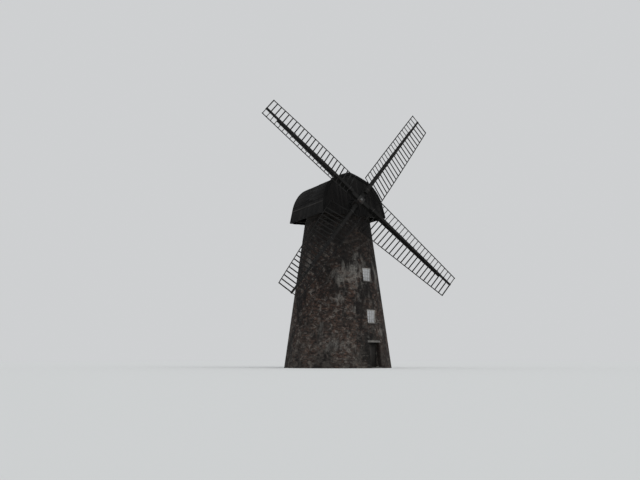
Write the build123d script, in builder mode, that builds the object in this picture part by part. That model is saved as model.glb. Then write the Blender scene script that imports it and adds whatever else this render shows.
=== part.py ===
# Traditional tower windmill: a battered round brick tower, an arched boarded cap that turns on a
# curb, and four twisted lattice sails on an inclined windshaft.
# Millimetres, +Z up, origin on the tower's axis at ground level. The sails face -Y at rest.
import os
from math import atan, cos, degrees, pi, radians, sin, tan

from build123d import *

os.makedirs("parts", exist_ok=True)

# Tower
tower_height = 12600
base_radius = 4585
top_radius = 2808
batter = (base_radius - top_radius) / tower_height
wall_base = 600
wall_top = 450
tower_sides = 96
sectors = 8
sector_angle = 360 / sectors
door_azimuth = -75
floor_levels = [3000, 6500]
ground_floor_thick = 100
floor_boards = 45
joist_depth = 200
joist_width = 110
joist_pitch = 900

# Doorway and windows
door_clear = 1110
door_height = 2100
post_width = 75
post_depth = 80
lintel_length = 1460
lintel_height = 160
lintel_proud = 20
leaf_thick = 50
leaf_gap = 8
window_width = 940
window_height = 1090
window_levels = [level + 1240 for level in floor_levels]
window_azimuths = [door_azimuth, door_azimuth + 180]
sash_rim = 65
sash_depth = 80
sash_inset = 80
sill_height = 70
head_height = 110

# Curb and cap
curb_inner = top_radius - wall_top + 62
curb_outer = top_radius - 68
curb_height = 160
curb_sides = 48
running_gap = 0.3
ring_inner = curb_inner + 30
ring_outer = curb_outer - 30
ring_height = 140
cap_floor = tower_height + 150
cap_break_z = cap_floor + 1350
cap_apex_z = cap_floor + 3700
cap_foot_x = top_radius + 192
cap_break_x = top_radius - 98
shoulder_x = cap_break_x - 510
shoulder_z = cap_floor + 2450
brow_x = cap_break_x - 1260
brow_z = cap_floor + 3100
cap_rear_y = top_radius + 392
cap_front_foot_y = -top_radius - 142
cap_front_top_y = cap_front_foot_y + 900
board_thick = 50
roof_thick = 45
sheer_x = 1050
sheer_width = 260
sheer_depth = 260

# Windshaft and sails
hub_y = cap_front_foot_y - 956
hub_z = cap_floor + 1100
shaft_tilt = 9.1
shaft_radius = 250
neck_radius = 200
journal_radius = 90
neck_y = cap_front_foot_y + 500
tail_y = cap_rear_y - 1760
sail_radius = 10700
first_whip_angle = 49.8
stock_reach = sail_radius - 1300
stock_root = 300
stock_end = 170
lattice_heel = 2250
bar_count = 21
wide_bar = 96
narrow_bar = 60
bar_thick = 34
weather_heel = 23.9
weather_tip = 9.9
wide_heel = 1950
wide_tip = 1270
narrow_heel = 960
narrow_tip = 780


def outer_radius(z):
    return base_radius - batter * z


def inner_radius(z):
    return outer_radius(z) - wall_base + (wall_base - wall_top) * z / tower_height


def lintel_radius(z):
    return outer_radius(z) + lintel_proud


def plan_point(azimuth, distance):
    return (distance * cos(radians(azimuth)), distance * sin(radians(azimuth)))


def facing_plane(azimuth, distance=0):
    # upright plane square to the azimuth: x to the right as seen from outside, y up, z outwards
    a = radians(azimuth)
    return Plane(
        origin=(distance * cos(a), distance * sin(a), 0),
        x_dir=(-sin(a), cos(a), 0),
        z_dir=(cos(a), sin(a), 0),
    )


def save(piece, name):
    piece.part.label = name
    export_step(piece.part, f"parts/{name}.step")


def round_block(radius_at, low, high):
    # many-sided block round the tower's axis, battered so that its corners keep to the given radius
    flat_batter = (radius_at(low) - radius_at(high)) * cos(pi / tower_sides) / (high - low)
    with BuildPart() as piece:
        with BuildSketch(Plane.XY.offset(low)):
            RegularPolygon(radius_at(low), tower_sides)
        extrude(amount=high - low, taper=degrees(atan(flat_batter)))
    return piece


def wall_sector(middle, low, high):
    far = 2 * base_radius
    with BuildPart() as piece:
        add(round_block(outer_radius, low, high).part)
        add(round_block(inner_radius, low, high).part, mode=Mode.SUBTRACT)
        with BuildSketch(Plane.XY.offset(low)):
            with BuildLine():
                Polyline(
                    (0, 0),
                    plan_point(middle - sector_angle / 2, far),
                    plan_point(middle + sector_angle / 2, far),
                    close=True,
                )
            make_face()
        extrude(amount=high - low, mode=Mode.INTERSECT)
    return piece


def window_space(azimuth):
    # the openings of one column of windows, with the seats of their sills and timber heads
    with BuildPart() as piece:
        with BuildSketch(facing_plane(azimuth)):
            for level in window_levels:
                with Locations((0, level)):
                    Rectangle(window_width, window_height)
        extrude(amount=base_radius)
        for level in window_levels:
            with BuildSketch(facing_plane(azimuth, outer_radius(level) - sill_depth)):
                with Locations((0, level - window_height / 2 - sill_height / 2)):
                    Rectangle(window_width + 160, sill_height)
                with Locations((0, level + window_height / 2 + head_height / 2)):
                    Rectangle(window_width + 240, head_height)
            extrude(amount=2 * sill_depth)
    return piece


# Brick tower wall in eight sectors; the one with the doorway starts over its lintel
sill_depth = 330
door_top = door_height + lintel_height
sector_names = [
    "wall_over_door",
    "wall_front_right",
    "wall_right",
    "wall_rear_right",
    "wall_rear",
    "wall_rear_left",
    "wall_left",
    "wall_front_left",
]
for index, name in enumerate(sector_names):
    middle = door_azimuth + index * sector_angle
    with BuildPart() as wall:
        add(wall_sector(middle, door_top if index == 0 else 0, tower_height).part)
        if middle in window_azimuths:
            add(window_space(middle).part, mode=Mode.SUBTRACT)
    save(wall, name)

# The wall beside the doorway, one jamb on each side, seated for the lintel's ends
for side, name in ((-1, "doorway_left_wall"), (1, "doorway_right_wall")):
    with BuildPart() as jamb:
        add(wall_sector(door_azimuth, 0, door_top).part)
        with BuildSketch(facing_plane(door_azimuth)):
            with Locations((-side * base_radius / 2 + side * (door_clear / 2 + post_width), door_top / 2)):
                Rectangle(base_radius, door_top + 10)
            with Locations((0, door_height + lintel_height / 2)):
                Rectangle(lintel_length, lintel_height)
        extrude(amount=base_radius + 100, mode=Mode.SUBTRACT)
    save(jamb, name)

# Lintel through the wall, its face rounded to the tower and standing just out of the brickwork
lintel_back = inner_radius(door_height) - 60
with BuildPart() as door_lintel:
    with BuildSketch(facing_plane(door_azimuth, lintel_back)):
        with Locations((0, door_height + lintel_height / 2)):
            Rectangle(lintel_length, lintel_height)
    extrude(amount=base_radius + lintel_proud - lintel_back)
    add(round_block(lintel_radius, 0, tower_height).part, mode=Mode.INTERSECT)
save(door_lintel, "door_lintel")

ground_floor = round_block(inner_radius, 0, ground_floor_thick)
save(ground_floor, "ground_floor")

# Threshold stone in the doorway, against the round edge of the floor
step_height = ground_floor_thick
post_inner = inner_radius(door_height / 2) - 60
with BuildPart() as door_step:
    with BuildSketch(facing_plane(door_azimuth, post_inner)):
        with Locations((0, step_height / 2)):
            Rectangle(door_clear + 2 * post_width, step_height)
    extrude(amount=base_radius - post_inner - 25)
    add(ground_floor.part, mode=Mode.SUBTRACT)
save(door_step, "door_step")

# Door frame at the inner edge of the deep reveal
with BuildPart() as door_posts:
    with BuildSketch(facing_plane(door_azimuth, post_inner)):
        for side in (-1, 1):
            with Locations((side * (door_clear + post_width) / 2, (door_height + step_height) / 2)):
                Rectangle(post_width, door_height - step_height)
    extrude(amount=post_depth)
save(door_posts, "door_posts")

head_rail = 75
with BuildPart() as door_head:
    with BuildSketch(facing_plane(door_azimuth, post_inner)):
        with Locations((0, door_height - head_rail / 2)):
            Rectangle(door_clear, head_rail)
    extrude(amount=post_depth)
save(door_head, "door_head")

# Plank door, hinged on its left edge as seen from outside, opening inwards
leaf_width = door_clear - 2 * leaf_gap
leaf_low = step_height + leaf_gap
leaf_high = door_height - head_rail - leaf_gap
leaf_height = leaf_high - leaf_low
ledge_levels = [leaf_low + 220, leaf_low + leaf_height / 2, leaf_high - 220]
ledge_height = 130
ledge_thick = 28
with BuildPart() as door_leaf:
    with BuildSketch(facing_plane(door_azimuth, post_inner)):
        with Locations((0, leaf_low + leaf_height / 2)):
            Rectangle(leaf_width, leaf_height)
    extrude(amount=leaf_thick)
save(door_leaf, "door_leaf")

with BuildPart() as door_ledges:
    with BuildSketch(facing_plane(door_azimuth, post_inner - ledge_thick)):
        for level in ledge_levels:
            with Locations((15, level)):
                Rectangle(leaf_width - 150, ledge_height)
    extrude(amount=ledge_thick)
save(door_ledges, "door_ledges")

# Two iron straps with an eye each, on pintles driven into the left post
pivot_inset = 24
eye_radius = 16
pin_radius = 8
strap_height = 50
strap_length = 640
strap_levels = [ledge_levels[0] + 110, ledge_levels[2] - 110]


def hinge_plane(z):
    # level plane at the door's pivot: x along the closed leaf, y into the room
    face = facing_plane(door_azimuth, post_inner - pivot_inset)
    pivot = face.from_local_coords((-leaf_width / 2, z, 0))
    return Plane(origin=pivot, x_dir=face.x_dir, z_dir=(0, 0, 1))


with BuildPart() as door_straps:
    for level in strap_levels:
        with BuildSketch(hinge_plane(level - strap_height / 2)):
            RegularPolygon(eye_radius, 12)
            with Locations((25, (eye_radius - pivot_inset) / 2)):
                Rectangle(50, pivot_inset + eye_radius)
            with Locations((strap_length / 2, 4 - pivot_inset)):
                Rectangle(strap_length, 8)
            Circle(pin_radius + running_gap, mode=Mode.SUBTRACT)
        extrude(amount=strap_height)
save(door_straps, "door_straps")

pintle_height = 40
with BuildPart() as door_pintles:
    for level in strap_levels:
        low = level - strap_height / 2 - running_gap - pintle_height
        with BuildSketch(hinge_plane(low)):
            with Locations((-34, (10 - pivot_inset) / 2)):
                Rectangle(52, 10 + pivot_inset)
            with Locations((-4, 0)):
                Rectangle(20, 20)
        extrude(amount=pintle_height)
        with BuildSketch(hinge_plane(low)):
            Circle(pin_radius)
        extrude(amount=pintle_height + strap_height + 12)
save(door_pintles, "door_pintles")

# Sashes, panes, sills and timber heads of the windows
window_places = [(azimuth, level) for azimuth in window_azimuths for level in window_levels]
with BuildPart() as window_frames:
    for azimuth, level in window_places:
        with BuildSketch(facing_plane(azimuth, outer_radius(level) - sash_inset - sash_depth)):
            with Locations((0, level)):
                Rectangle(window_width, window_height)
                Rectangle(window_width - 2 * sash_rim, window_height - 2 * sash_rim, mode=Mode.SUBTRACT)
        extrude(amount=sash_depth)
save(window_frames, "window_frames")

pane_thick = 8
with BuildPart() as window_panes:
    for azimuth, level in window_places:
        with BuildSketch(facing_plane(azimuth, outer_radius(level) - sash_inset - sash_depth / 2)):
            with Locations((0, level)):
                Rectangle(window_width - 2 * sash_rim, window_height - 2 * sash_rim)
        extrude(amount=pane_thick)
save(window_panes, "window_panes")

with BuildPart() as window_sills:
    for azimuth, level in window_places:
        with BuildSketch(facing_plane(azimuth, outer_radius(level) - sill_depth)):
            with Locations((0, level - window_height / 2 - sill_height / 2)):
                Rectangle(window_width + 160, sill_height)
        extrude(amount=sill_depth + 130)
save(window_sills, "window_sills")

with BuildPart() as window_heads:
    for azimuth, level in window_places:
        with BuildSketch(facing_plane(azimuth, outer_radius(level) - sill_depth)):
            with Locations((0, level + window_height / 2 + head_height / 2)):
                Rectangle(window_width + 240, head_height)
        extrude(amount=sill_depth + 130)
    add(round_block(outer_radius, 0, tower_height).part, mode=Mode.INTERSECT)
save(window_heads, "window_heads")

# Upper floors: boards with their joists beneath, the joists' ends against the round wall
for level, name in zip(floor_levels, ("first_floor", "second_floor")):
    low = level - floor_boards - joist_depth
    count = int((inner_radius(level) - joist_width) // joist_pitch)
    with BuildPart() as floor:
        add(round_block(inner_radius, level - floor_boards, level).part)
        with BuildSketch(Plane.XY.offset(low)):
            for step in range(-count, count + 1):
                x = step * joist_pitch
                half = (inner_radius(level) ** 2 - (abs(x) + joist_width / 2) ** 2) ** 0.5
                with Locations((x, 0)):
                    Rectangle(joist_width, 2 * half)
        extrude(amount=joist_depth)
    save(floor, name)

# Curb: timber segments on the wall, open by a saw cut at each joint
curb_joint = 4
curb_top = tower_height + curb_height
with BuildPart() as curb:
    with BuildSketch(Plane.XY.offset(tower_height)):
        RegularPolygon(curb_outer, curb_sides)
        RegularPolygon(curb_inner, curb_sides, mode=Mode.SUBTRACT)
        with PolarLocations(0, sectors // 2, start_angle=sector_angle / 2, angular_range=180):
            Rectangle(2 * curb_outer + 10, curb_joint, mode=Mode.SUBTRACT)
    extrude(amount=curb_height)
save(curb, "curb")

# Cap circle that runs on the curb
ring_low = curb_top + running_gap
ring_top = ring_low + ring_height
with BuildPart() as cap_circle:
    with BuildSketch(Plane.XY.offset(ring_low)):
        RegularPolygon(ring_outer, curb_sides)
        RegularPolygon(ring_inner, curb_sides, mode=Mode.SUBTRACT)
    extrude(amount=ring_height)
save(cap_circle, "cap_circle")

# The windshaft's axis and the sails' plane
tilt = radians(shaft_tilt)
forward = Vector(0, -cos(tilt), sin(tilt))
hub = Vector(0, hub_y, hub_z)


def shaft_point(y):
    return hub + forward * ((hub_y - y) / cos(tilt))


def shaft_z(y):
    return shaft_point(y).Z


# Cap frame: two sheers along the cap, the weather beam over them and the tail beam under them
sheer_top = ring_top + sheer_depth
sheer_front = cap_front_foot_y + 350
sheer_rear = cap_rear_y - board_thick
with BuildPart() as cap_sheers:
    with BuildSketch(Plane.XY.offset(ring_top)):
        for side in (-1, 1):
            with Locations((side * sheer_x, (sheer_front + sheer_rear) / 2)):
                Rectangle(sheer_width, sheer_rear - sheer_front)
    extrude(amount=sheer_depth)
save(cap_sheers, "cap_sheers")

bearing_seat = 60
weather_width = 340
weather_low = ring_top + 100
weather_top = shaft_z(neck_y) - neck_radius - bearing_seat
weather_half = cap_break_x - 560
with BuildPart() as weather_beam:
    with BuildSketch(Plane.XY.offset(weather_low)):
        with Locations((0, neck_y)):
            Rectangle(2 * weather_half, weather_width)
    extrude(amount=weather_top - weather_low)
    with BuildSketch(Plane.XY.offset(ring_top)):
        for side in (-1, 1):
            with Locations((side * sheer_x, 0)):
                Rectangle(sheer_width, 3 * cap_rear_y)
    extrude(amount=sheer_depth, mode=Mode.SUBTRACT)
save(weather_beam, "weather_beam")

tail_width = 280
tail_low = ring_top - 400
tail_seat = shaft_z(tail_y) - journal_radius - bearing_seat
with BuildPart() as tail_beam:
    with BuildSketch(Plane.XY.offset(tail_low)):
        with Locations((0, tail_y)):
            Rectangle(2 * sheer_x + sheer_width, tail_width)
    extrude(amount=ring_top - tail_low)
    with BuildSketch(Plane.XY.offset(tail_seat)):
        with Locations((0, tail_y)):
            Rectangle(500, tail_width + 20)
    extrude(amount=400, mode=Mode.SUBTRACT)
save(tail_beam, "tail_beam")


def bearing(y, radius, width, low):
    # half-round seat under the shaft, square to it, trimmed level where it stands on its beam
    with BuildPart() as piece:
        with BuildSketch(Plane.XZ.offset(-y)):
            with Locations((0, (low + shaft_z(y)) / 2)):
                Rectangle(2 * radius + 160, shaft_z(y) - low)
        extrude(amount=width / 2, both=True)
        with BuildSketch(Plane(origin=shaft_point(y), x_dir=(1, 0, 0), z_dir=forward)):
            Circle(radius + running_gap)
        extrude(amount=2 * width, both=True, mode=Mode.SUBTRACT)
    return piece


neck_bearing = bearing(neck_y, neck_radius, 240, weather_top)
save(neck_bearing, "neck_bearing")
tail_bearing = bearing(tail_y, journal_radius, 200, tail_seat)
save(tail_bearing, "tail_bearing")

# Outriggers from the sheers to the skirts, on the cap circle
outrigger_rows = [cap_front_foot_y + 950, -700, 900, cap_rear_y - 250]
outrigger_depth = 160
skirt_slope = (cap_foot_x - cap_break_x) / (cap_break_z - cap_floor)


def skirt_x(z):
    return cap_foot_x - skirt_slope * (z - cap_floor)


skirt_inside = skirt_x(ring_top + outrigger_depth) - board_thick - 1
with BuildPart() as cap_outriggers:
    with BuildSketch(Plane.XY.offset(ring_top)):
        inner_end = sheer_x + sheer_width / 2
        for y in outrigger_rows:
            for side in (-1, 1):
                with Locations((side * (inner_end + skirt_inside) / 2, y)):
                    Rectangle(skirt_inside - inner_end, 180)
    extrude(amount=outrigger_depth)
save(cap_outriggers, "cap_outriggers")


def arch_line(inset):
    # half of the roof's section from the eaves to the apex, in the X-Z plane, by three tangent arcs
    start = (cap_break_x - inset, cap_break_z)
    rise = (-cos(radians(76)), sin(radians(76)))
    low = TangentArc(start, (shoulder_x - inset * 0.82, shoulder_z - inset * 0.57), tangent=rise)
    mid = TangentArc(low @ 1, (brow_x - inset * 0.5, brow_z - inset * 0.87), tangent=low % 1)
    TangentArc(mid @ 1, (0, cap_apex_z - inset * 1.05), tangent=mid % 1)


front_slope = (cap_front_top_y - cap_front_foot_y) / (cap_apex_z - cap_floor)


def front_y(z):
    return cap_front_foot_y + front_slope * (z - cap_floor)


# The raked face of the cap's front, and its plane for trimming what meets it
front_plane = Plane(
    origin=(0, front_y(cap_floor), cap_floor),
    x_dir=(1, 0, 0),
    z_dir=(0, -1, front_slope),
)


def space_before(depth, reach=6000):
    # all that lies in front of the raked plane moved back by depth, or behind it for a negative reach
    with BuildPart() as piece:
        with BuildSketch(front_plane.offset(-depth)):
            with Locations((0, 2000)):
                Rectangle(9000, 9000)
        extrude(amount=reach)
    return piece


def roof_half(side):
    with BuildPart() as piece:
        with BuildSketch(Plane.XZ.offset(-(cap_rear_y - board_thick))):
            with BuildLine():
                arch_line(0)
                Line((0, cap_apex_z), (0, cap_apex_z - roof_thick * 1.05))
                arch_line(roof_thick)
                Line((cap_break_x - roof_thick, cap_break_z), (cap_break_x, cap_break_z))
            make_face()
        extrude(amount=2 * cap_rear_y)
        add(space_before(board_thick).part, mode=Mode.SUBTRACT)
        if side < 0:
            mirror(about=Plane.YZ, mode=Mode.REPLACE)
    return piece


roof_left = roof_half(-1)
save(roof_left, "cap_roof_left")
roof_right = roof_half(1)
save(roof_right, "cap_roof_right")


def skirt_half(side):
    with BuildPart() as piece:
        with BuildSketch(Plane.XZ.offset(-(cap_rear_y - board_thick))):
            with BuildLine():
                Polyline(
                    (cap_foot_x, cap_floor),
                    (cap_break_x, cap_break_z),
                    (cap_break_x - board_thick, cap_break_z),
                    (cap_foot_x - board_thick, cap_floor),
                    close=True,
                )
            make_face()
        extrude(amount=2 * cap_rear_y)
        add(space_before(board_thick).part, mode=Mode.SUBTRACT)
        if side < 0:
            mirror(about=Plane.YZ, mode=Mode.REPLACE)
    return piece


skirt_left = skirt_half(-1)
save(skirt_left, "cap_skirt_left")
skirt_right = skirt_half(1)
save(skirt_right, "cap_skirt_right")


def end_wall(plane_y):
    with BuildPart() as piece:
        with BuildSketch(Plane.XZ.offset(-plane_y)):
            with BuildLine():
                arch_line(0)
                Polyline((0, cap_apex_z), (0, cap_floor), (cap_foot_x, cap_floor), (cap_break_x, cap_break_z))
            make_face()
            mirror(about=Plane.YZ)
        extrude(amount=-board_thick)
    return piece


rear_wall = end_wall(cap_rear_y - board_thick)
save(rear_wall, "cap_rear_wall")

# Front wall on the raked plane: the arch's section cut by it, in panels round the shaft's hole
shaft_hole_half = 400
hole_z = shaft_z(front_y(hub_z - 150))
hole_low = hole_z - shaft_hole_half
hole_high = hole_z + shaft_hole_half
panel_low = cap_floor - 100
panel_high = cap_apex_z + 1000
front_panels = {
    "cap_front_left": (-2 * cap_foot_x, -shaft_hole_half, panel_low, panel_high),
    "cap_front_right": (shaft_hole_half, 2 * cap_foot_x, panel_low, panel_high),
    "cap_front_top": (-shaft_hole_half, shaft_hole_half, hole_high, panel_high),
    "cap_front_sill": (-shaft_hole_half, shaft_hole_half, panel_low, hole_low),
}
for name, (x0, x1, z0, z1) in front_panels.items():
    with BuildPart() as panel:
        with BuildSketch(Plane.XZ):
            with BuildLine():
                arch_line(0)
                Polyline((0, cap_apex_z), (0, cap_floor), (cap_foot_x, cap_floor), (cap_break_x, cap_break_z))
            make_face()
            mirror(about=Plane.YZ)
            with Locations(((x0 + x1) / 2, (z0 + z1) / 2)):
                Rectangle(x1 - x0, z1 - z0, mode=Mode.INTERSECT)
        extrude(amount=4000)
        add(space_before(0).part, mode=Mode.SUBTRACT)
        add(space_before(board_thick, -6000).part, mode=Mode.SUBTRACT)
    save(panel, name)

# Ridge capping, seated on the roof's peak, and the plates along the eaves
with BuildPart() as cap_body:
    with BuildSketch(Plane.XZ.offset(-cap_rear_y)):
        with BuildLine():
            arch_line(0)
            Polyline((0, cap_apex_z), (0, cap_floor), (cap_foot_x, cap_floor), (cap_break_x, cap_break_z))
        make_face()
        mirror(about=Plane.YZ)
    extrude(amount=2 * cap_rear_y)

ridge_height = 170
with BuildPart() as ridge_board:
    with BuildSketch(Plane.XZ.offset(-cap_rear_y)):
        with BuildLine():
            Polyline(
                (-190, cap_apex_z - 66),
                (0, cap_apex_z),
                (190, cap_apex_z - 66),
                (120, cap_apex_z + ridge_height - 60),
                (0, cap_apex_z + ridge_height),
                (-120, cap_apex_z + ridge_height - 60),
                close=True,
            )
        make_face()
    extrude(amount=2 * cap_rear_y)
    add(space_before(0).part, mode=Mode.SUBTRACT)
    add(cap_body.part, mode=Mode.SUBTRACT)
save(ridge_board, "ridge_board")

plate_x = cap_break_x - board_thick
with BuildPart() as eave_plates:
    with BuildSketch(Plane.XZ.offset(-(cap_rear_y - board_thick))):
        for side in (-1, 1):
            with Locations((side * (plate_x - 60), cap_break_z - 60)):
                Rectangle(120, 120)
    extrude(amount=2 * cap_rear_y)
    add(space_before(board_thick).part, mode=Mode.SUBTRACT)
save(eave_plates, "eave_plates")

# Windshaft: the body, the iron neck in its bearing and the tail journal
shaft_length = (tail_y - hub_y) / cos(tilt)
neck_distance = (neck_y - hub_y) / cos(tilt)
neck_half = 240
journal_half = 140
canister_back = 620
with BuildPart() as windshaft:
    with BuildSketch(Plane(origin=hub, x_dir=(1, 0, 0), z_dir=forward).offset(-canister_back)):
        Circle(neck_radius)
    extrude(amount=-(neck_distance + neck_half - canister_back))
    with BuildSketch(Plane(origin=hub, x_dir=(1, 0, 0), z_dir=forward).offset(-(neck_distance + neck_half))):
        RegularPolygon(shaft_radius, 16)
    extrude(amount=-(shaft_length - journal_half - neck_distance - neck_half))
    with BuildSketch(Plane(origin=hub, x_dir=(1, 0, 0), z_dir=forward).offset(-(shaft_length - journal_half))):
        Circle(journal_radius)
    extrude(amount=-2 * journal_half)
save(windshaft, "windshaft")

# Whip angles turn anticlockwise from the right as seen from the front
pair_seat = [50, -250]


def whip_direction(angle):
    a = radians(angle)
    return Vector(cos(a), sin(a) * sin(tilt), sin(a) * cos(tilt))


def section_plane(angle, radius, seat):
    # square across a sail's arm: x anticlockwise, y forwards, z outwards along the arm
    out = whip_direction(angle)
    side = forward.cross(out)
    return Plane(origin=hub + forward * seat + out * radius, x_dir=side, z_dir=out)


def tapered_timber(angle, seat, depth_outline, width_outline):
    # a timber along an arm from its two outlines: (out, forwards) from the side, (out, across) from the front
    out = whip_direction(angle)
    middle = hub + forward * seat
    with BuildPart() as piece:
        with BuildSketch(Plane(origin=middle, x_dir=out, z_dir=out.cross(forward))):
            with BuildLine():
                Polyline(*depth_outline, close=True)
            make_face()
        extrude(amount=stock_root, both=True)
        with BuildSketch(Plane(origin=middle, x_dir=out, z_dir=forward)):
            with BuildLine():
                Polyline(*width_outline, close=True)
            make_face()
        extrude(amount=2 * stock_root, both=True, mode=Mode.INTERSECT)
    return piece


# Stocks, straight on the face that carries the whips and tapered behind
stock_square = 900
stock_depth = [
    (-stock_reach, 0),
    (stock_reach, 0),
    (stock_reach, -stock_end),
    (stock_square, -stock_root),
    (-stock_square, -stock_root),
    (-stock_reach, -stock_end),
]
stock_half_width = [
    (-stock_reach, -stock_end / 2),
    (-stock_square, -stock_root / 2),
    (stock_square, -stock_root / 2),
    (stock_reach, -stock_end / 2),
    (stock_reach, stock_end / 2),
    (stock_square, stock_root / 2),
    (-stock_square, stock_root / 2),
    (-stock_reach, stock_end / 2),
]
stocks = []
for pair, name in enumerate(("stock_outer", "stock_inner")):
    angle = first_whip_angle + 90 if pair == 0 else first_whip_angle
    stock = tapered_timber(angle, pair_seat[pair], stock_depth, stock_half_width)
    stocks.append(stock)
    save(stock, name)

# Poll end: an iron box on the shaft's nose with a mortise for each stock
canister_half = 270
canister_front = 130
with BuildPart() as canister:
    with BuildSketch(Plane(origin=hub, x_dir=whip_direction(first_whip_angle), z_dir=forward).offset(-canister_back)):
        RectangleRounded(2 * canister_half, 2 * canister_half, 40)
    extrude(amount=canister_back + canister_front)
    add(stocks[0].part, mode=Mode.SUBTRACT)
    add(stocks[1].part, mode=Mode.SUBTRACT)
save(canister, "canister")

# Sails: a tapered whip, and a lattice of bars mortised through it at the changing weather angle
whip_start = 1000
whip_root = (250, 190)
whip_tip = (150, 130)
bar_end_margin = 60
# The bars sit ahead of the stock, so that the turned bar at the heel clears the stock's edge
heel_share = (lattice_heel - stock_square) / (stock_reach - stock_square)
heel_half = (stock_root + (stock_end - stock_root) * heel_share) / 2
heel_turn = radians(weather_heel)
bar_seat = heel_half * tan(heel_turn) + bar_thick / 2 / cos(heel_turn) + 5
bar_pitch = (sail_radius - bar_end_margin - lattice_heel) / (bar_count - 1)
bar_end_cover = 14
lath_width = 70
lath_thick = 42


def along(radius, heel, tip):
    return heel + (tip - heel) * (radius - lattice_heel) / (sail_radius - lattice_heel)


def bar_plane(angle, radius, seat):
    # the section turned about the arm, so that the wide side lies back towards the tower on every sail
    section = section_plane(angle, radius, seat + bar_seat)
    turn = radians(along(radius, weather_heel, weather_tip))
    across = section.x_dir * cos(turn) + section.y_dir * sin(turn)
    return Plane(origin=section.origin, x_dir=across, z_dir=section.z_dir)


bar_radii = [lattice_heel + index * bar_pitch for index in range(bar_count)]
lath_stations = [bar_radii[0] - 50, bar_radii[5], bar_radii[10], bar_radii[15], bar_radii[-1] + 50]
whip_depth = [(whip_start, 0), (sail_radius, 0), (sail_radius, whip_tip[1]), (whip_start, whip_root[1])]
whip_half_width = [
    (whip_start, -whip_root[0] / 2),
    (sail_radius, -whip_tip[0] / 2),
    (sail_radius, whip_tip[0] / 2),
    (whip_start, whip_root[0] / 2),
]

for number in range(4):
    angle = first_whip_angle + 90 * number
    seat = pair_seat[0] if number % 2 == 1 else pair_seat[1]
    with BuildPart() as bars:
        for radius in bar_radii:
            wide = along(radius, wide_heel, wide_tip) - bar_end_cover
            narrow = along(radius, narrow_heel, narrow_tip) - bar_end_cover
            for reach, side, width in ((wide, -1, wide_bar), (narrow, 1, narrow_bar)):
                with BuildSketch(bar_plane(angle, radius, seat)):
                    with Locations((side * reach / 2, 0)):
                        Rectangle(reach, bar_thick)
                extrude(amount=width / 2, both=True)
    with BuildPart() as whip:
        add(tapered_timber(angle, seat, whip_depth, whip_half_width).part)
        add(bars.part, mode=Mode.SUBTRACT)
    save(whip, f"whip_{number + 1}")
    with BuildPart() as lattice:
        add(bars.part)
        for heel, tip, side in ((wide_heel, wide_tip, -1), (narrow_heel, narrow_tip, 1)):
            for low, high in zip(lath_stations, lath_stations[1:]):
                for radius in (low, high):
                    with BuildSketch(bar_plane(angle, radius, seat)):
                        with Locations((side * (along(radius, heel, tip) - lath_width / 2), 0)):
                            Rectangle(lath_width, lath_thick)
                loft(ruled=True)
    save(lattice, f"lattice_{number + 1}")
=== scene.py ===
import math

import bmesh
import bpy
import numpy as np
from mathutils import Matrix


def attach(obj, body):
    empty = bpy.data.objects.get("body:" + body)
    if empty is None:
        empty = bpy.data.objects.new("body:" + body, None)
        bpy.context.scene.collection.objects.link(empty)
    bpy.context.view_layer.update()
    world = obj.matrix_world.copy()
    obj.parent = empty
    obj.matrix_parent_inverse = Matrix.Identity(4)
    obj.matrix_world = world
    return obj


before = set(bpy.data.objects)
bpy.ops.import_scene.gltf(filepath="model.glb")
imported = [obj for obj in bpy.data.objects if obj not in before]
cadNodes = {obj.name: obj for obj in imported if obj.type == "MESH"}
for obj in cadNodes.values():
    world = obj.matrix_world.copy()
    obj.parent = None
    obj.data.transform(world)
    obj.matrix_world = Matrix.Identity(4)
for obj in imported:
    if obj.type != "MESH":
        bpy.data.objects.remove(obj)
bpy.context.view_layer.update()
scene = bpy.context.scene
rng = np.random.default_rng(1907)
print("frame loaded:", len(cadNodes), "nodes")


# places and forms shared by the pieces, in metres and degrees; most pairs are a value at the start and
# at the end of a run

tower = {"height": 12.6, "baseRadius": 4.585, "topRadius": 2.808}
doorway = {"azimuth": -75.0, "half": 0.63, "top": 2.1, "lintelHalf": 0.73, "lintelTop": 2.26, "inner": 3.7895}
windows = {
    "azimuths": (-75.0, 105.0), "levels": (4.24, 7.74), "halfWidth": 0.47, "halfHeight": 0.545, "inset": 0.08,
    "sillHalf": 0.55, "sillHeight": 0.07, "headHalf": 0.59, "headHeight": 0.11,
    "sashDepth": 0.08, "rim": 0.065,
}
windowPlaces = [(azimuth, level) for azimuth in windows["azimuths"] for level in windows["levels"]]
cap = {
    "foot": 12.75, "footX": 3.0, "breakX": 2.71, "breakZ": 14.1,
    "shoulder": (2.2, 15.2), "brow": (1.45, 15.85), "apexZ": 16.45,
    "startTangent": 104.0, "rearY": 3.2, "frontFootY": -2.95, "frontTopY": -2.05,
}
sails = {
    "hub": (0.0, -3.906, 13.85), "tilt": 9.1, "firstAngle": 49.8,
    "radius": 10.7, "heel": 2.25, "bars": 21, "weather": (23.9, 9.9),
    "wide": (1.95, 1.27), "narrow": (0.96, 0.78), "seats": (-0.25, 0.05), "barSeat": 0.0855,
    "stockReach": 9.4, "stockStart": 0.9, "stock": (0.30, 0.17),
    "whipStart": 1.0, "whipWide": (0.25, 0.15), "whipDeep": (0.19, 0.13), "tipToBar": 0.06,
}

up = np.array([0.0, 0.0, 1.0])
batter = (tower["baseRadius"] - tower["topRadius"]) / tower["height"]


def outerRadius(z):
    # the wall's radius shrinks by the same amount for each metre of height
    return tower["baseRadius"] - batter * z


def between(pair, share):
    # the first value plus a share of the way to the second
    return pair[0] + (pair[1] - pair[0]) * share


def unit(v):
    # a direction of length one
    return np.array(v, dtype=float) / np.linalg.norm(v)


def facing(azimuth):
    # the outward and rightward directions of an upright face square to an azimuth
    a = math.radians(azimuth)
    return np.array([math.cos(a), math.sin(a), 0.0]), np.array([-math.sin(a), math.cos(a), 0.0])


# mesh building

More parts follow.
